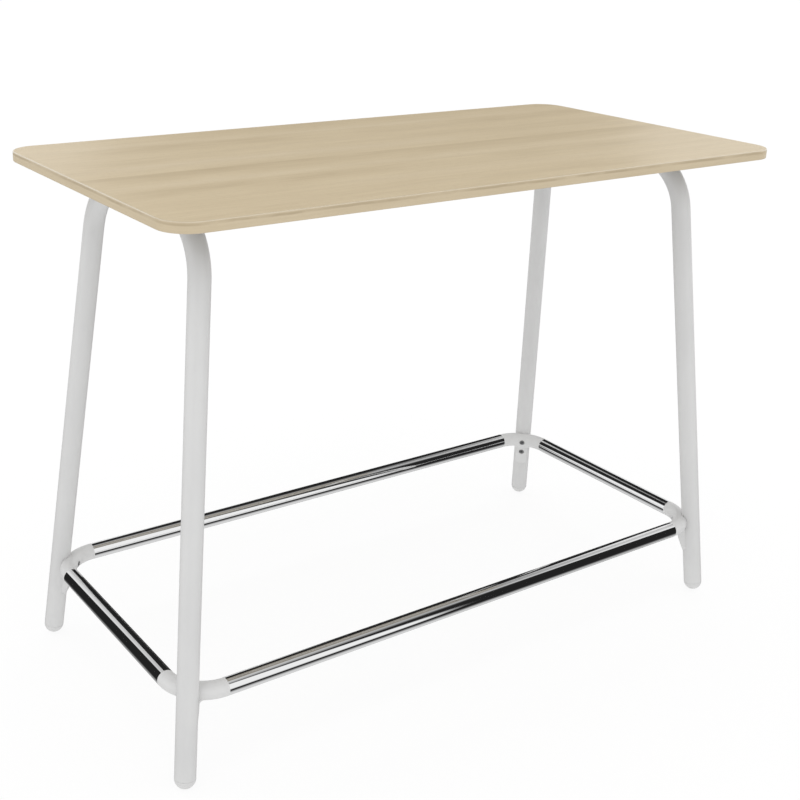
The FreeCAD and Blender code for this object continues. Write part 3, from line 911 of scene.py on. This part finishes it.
dome_coat = powder_material("dome_coat", coat_grey, coat_shade, dome_roughness, coat_relief)
plug_plastic = plug_material()
zinc_thread = thread_material()
for corner in corners:
    finish_nodes(dome_coat, f"glide_dome_{corner}")
    finish_nodes(plug_plastic, f"leg_plug_{corner}")
    stem = mesh_piece(f"threaded_stem_{corner}", threaded_stem(f"glide_stem_{corner}"),
                      zinc_thread, f"glide_{corner}")
    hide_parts(f"glide_stem_{corner}")
finish_nodes(zinc, "plug_inserts")


# Studio: a white floor and backdrop, soft panels on four sides with dark gaps between them.
# Panels and gaps show in chrome and sheen only; even room light and a weak lamp do the rest.

floor_size = 60.0
floor_gap = 0.0003
floor_paper = (0.46, 0.46, 0.46, 1)
floor_light = 0.54
floor_glow = 0.84
room_light = 1.06
panel_light = 0.95
dark_light = 0.018
Panel = namedtuple("Panel", "left right left_lean right_lean fade_from fade_to")
panels = [
    Panel(-30.5, 27.8, 0.22, 0.42, 24.0, 63.0),
    Panel(44.9, 119.0, 0.305, 0.0, 38.0, 57.0),
    Panel(146.0, 214.0, 0.0, 0.0, 44.0, 62.0),
    Panel(-122.0, -47.5, 0.0, 0.08, 34.0, 62.0),
]
panel_foot_low = -20.0
panel_foot_high = -6.0
panel_softness = 1.4
Spot = namedtuple("Spot", "azimuth elevation inner outer strength")
ceiling_spot = Spot(125.0, 74.0, 8.0, 36.0, 0.64)
floor_spot = Spot(-20.0, -88.5, 32.0, 64.8, 0.72)
key_place = Vector((-3.4, -1.6, 1.5))
key_aim = Vector((0, 0, 0.5))
key_size = 2.4
key_power = 4.0


def floor_material():
    """Evenly lit white paper: the camera sees it almost white, but with the table's own shadow."""
    material = bpy.data.materials.new("floor_paper")
    material.use_nodes = True
    tree = material.node_tree
    tree.nodes.remove(tree.nodes["Principled BSDF"])
    output = tree.nodes["Material Output"]
    path = add_node(tree, "ShaderNodeLightPath")
    sheet = add_node(tree, "ShaderNodeBsdfDiffuse", {"Color": floor_paper})
    lit = add_node(tree, "ShaderNodeEmission", {"Strength": floor_light})
    paper = add_node(tree, "ShaderNodeAddShader", {0: sheet.outputs[0], 1: lit.outputs[0]})
    faint_grey = (1 - floor_glow,) * 3 + (1,)
    faint = add_node(tree, "ShaderNodeBsdfDiffuse", {"Color": faint_grey})
    glow = add_node(tree, "ShaderNodeEmission", {"Strength": floor_glow})
    seen = add_node(tree, "ShaderNodeAddShader", {0: faint.outputs[0], 1: glow.outputs[0]})
    shown = add_node(tree, "ShaderNodeMixShader", {
        0: path.outputs["Is Camera Ray"], 1: paper.outputs[0], 2: seen.outputs[0],
    })
    clear = add_node(tree, "ShaderNodeBsdfTransparent")
    below = add_node(tree, "ShaderNodeNewGeometry").outputs["Backfacing"]
    mixed = add_node(tree, "ShaderNodeMixShader", {
        0: below, 1: shown.outputs[0], 2: clear.outputs[0],
    })
    tree.links.new(mixed.outputs[0], output.inputs["Surface"])
    return material


def panel_share(tree, panel, azimuth, elevation):
    """How much of one panel shows in a direction; its sides may lean and its top fades."""
    middle = (panel.left + panel.right) / 2
    turned = calc(tree, "WRAP", calc(tree, "SUBTRACT", azimuth, middle), 180.0, -180.0)
    rise = calc(tree, "MAXIMUM", elevation, 0.0)
    left = calc(tree, "MULTIPLY_ADD", rise, panel.left_lean, panel.left - middle)
    right = calc(tree, "MULTIPLY_ADD", rise, -panel.right_lean, panel.right - middle)
    past_left = ramp(tree, calc(tree, "SUBTRACT", turned, left),
                     -panel_softness, panel_softness)
    before_right = ramp(tree, calc(tree, "SUBTRACT", right, turned),
                        -panel_softness, panel_softness)
    fade = ramp(tree, elevation, panel.fade_to, panel.fade_from)
    return calc(tree, "MULTIPLY", fade, calc(tree, "MULTIPLY", past_left, before_right))


def spot_share(tree, spot, heading):
    """Light of a round patch of ceiling or floor in a direction."""
    rise = math.radians(spot.elevation)
    turn = math.radians(spot.azimuth)
    middle = (math.cos(rise) * math.sin(turn), math.cos(rise) * math.cos(turn), math.sin(rise))
    nearness = add_node(tree, "ShaderNodeVectorMath", {0: heading, 1: middle},
                        operation="DOT_PRODUCT")
    angle = calc(tree, "DEGREES", calc(tree, "ARCCOSINE", nearness.outputs["Value"]))
    return ramp(tree, angle, spot.outer, spot.inner, 0.0, spot.strength)


def studio_world():
    """White for the camera, even light for matt surfaces, panels and gaps for gloss."""
    world = bpy.data.worlds.new("studio")
    world.use_nodes = True
    tree = world.node_tree
    background = tree.nodes["Background"]
    heading = add_node(tree, "ShaderNodeTexCoord").outputs["Generated"]
    axes = add_node(tree, "ShaderNodeSeparateXYZ", {0: heading})
    azimuth = calc(tree, "DEGREES", calc(tree, "ARCTAN2", axes.outputs[0], axes.outputs[1]))
    elevation = calc(tree, "DEGREES", calc(tree, "ARCSINE", axes.outputs[2]))
    wall = 0.0
    for panel in panels:
        wall = calc(tree, "MAXIMUM", panel_share(tree, panel, azimuth, elevation), wall)
    foot = ramp(tree, elevation, panel_foot_low, panel_foot_high)
    wall = calc(tree, "MULTIPLY", wall, foot)
    light = calc(tree, "MULTIPLY_ADD", wall, panel_light, dark_light)
    for spot in (ceiling_spot, floor_spot):
        light = calc(tree, "ADD", light, spot_share(tree, spot, heading))
    path = add_node(tree, "ShaderNodeLightPath")
    glossy = calc(tree, "MAXIMUM", path.outputs["Is Glossy Ray"],
                  path.outputs["Is Transmission Ray"])
    lamps = add_node(tree, "ShaderNodeMix", {0: glossy, 2: room_light, 3: light})
    strength = add_node(tree, "ShaderNodeMix", {
        0: path.outputs["Is Camera Ray"], 2: lamps.outputs[0], 3: 1.0,
    })
    tree.links.new(strength.outputs[0], background.inputs["Strength"])
    background.inputs["Color"].default_value = (1, 1, 1, 1)
    return world


floor_mesh = bpy.data.meshes.new("floor")
floor_shape = bmesh.new()
bmesh.ops.create_grid(floor_shape, x_segments=1, y_segments=1, size=floor_size / 2)
floor_shape.to_mesh(floor_mesh)
floor_shape.free()
floor_mesh.materials.append(floor_material())
floor = bpy.data.objects.new("floor", floor_mesh)
floor.location.z = -floor_gap
floor.visible_glossy = False
bpy.context.scene.collection.objects.link(floor)
bpy.context.scene.world = studio_world()
bpy.context.scene.world.cycles.sampling_method = "NONE"

key_data = bpy.data.lights.new("key_panel", "AREA")
key_data.shape = "DISK"
key_data.size = key_size
key_data.energy = key_power
key = bpy.data.objects.new("key_panel", key_data)
key.location = key_place
key.rotation_euler = (key_aim - key_place).to_track_quat("-Z", "Y").to_euler()
key.visible_glossy = False
key.visible_camera = False
bpy.context.scene.collection.objects.link(key)


# Camera: standing height, to the left of the table's front, looking slightly down.
# Its shift moves the picture on the sensor, so that the whole table is in the frame.

camera_place = (-1.52029, -1.98304, 1.49838)
camera_azimuth = 34.4989
camera_elevation = -20.2090
camera_roll = 1.5137
camera_lens = 56.406
camera_sensor = 36.0
camera_shift_x = 0.08
camera_shift_y = -0.04

camera_data = bpy.data.cameras.new("camera")
camera_data.lens = camera_lens
camera_data.sensor_width = camera_sensor
camera_data.shift_x = camera_shift_x
camera_data.shift_y = camera_shift_y
camera = bpy.data.objects.new("camera", camera_data)
aim = Euler((math.radians(90 + camera_elevation), 0, math.radians(-camera_azimuth))).to_matrix()
camera.rotation_euler = (aim @ Matrix.Rotation(math.radians(camera_roll), 3, "Z")).to_euler()
camera.location = camera_place
bpy.context.scene.collection.objects.link(camera)
bpy.context.scene.camera = camera
bpy.context.scene.view_settings.view_transform = "Standard"
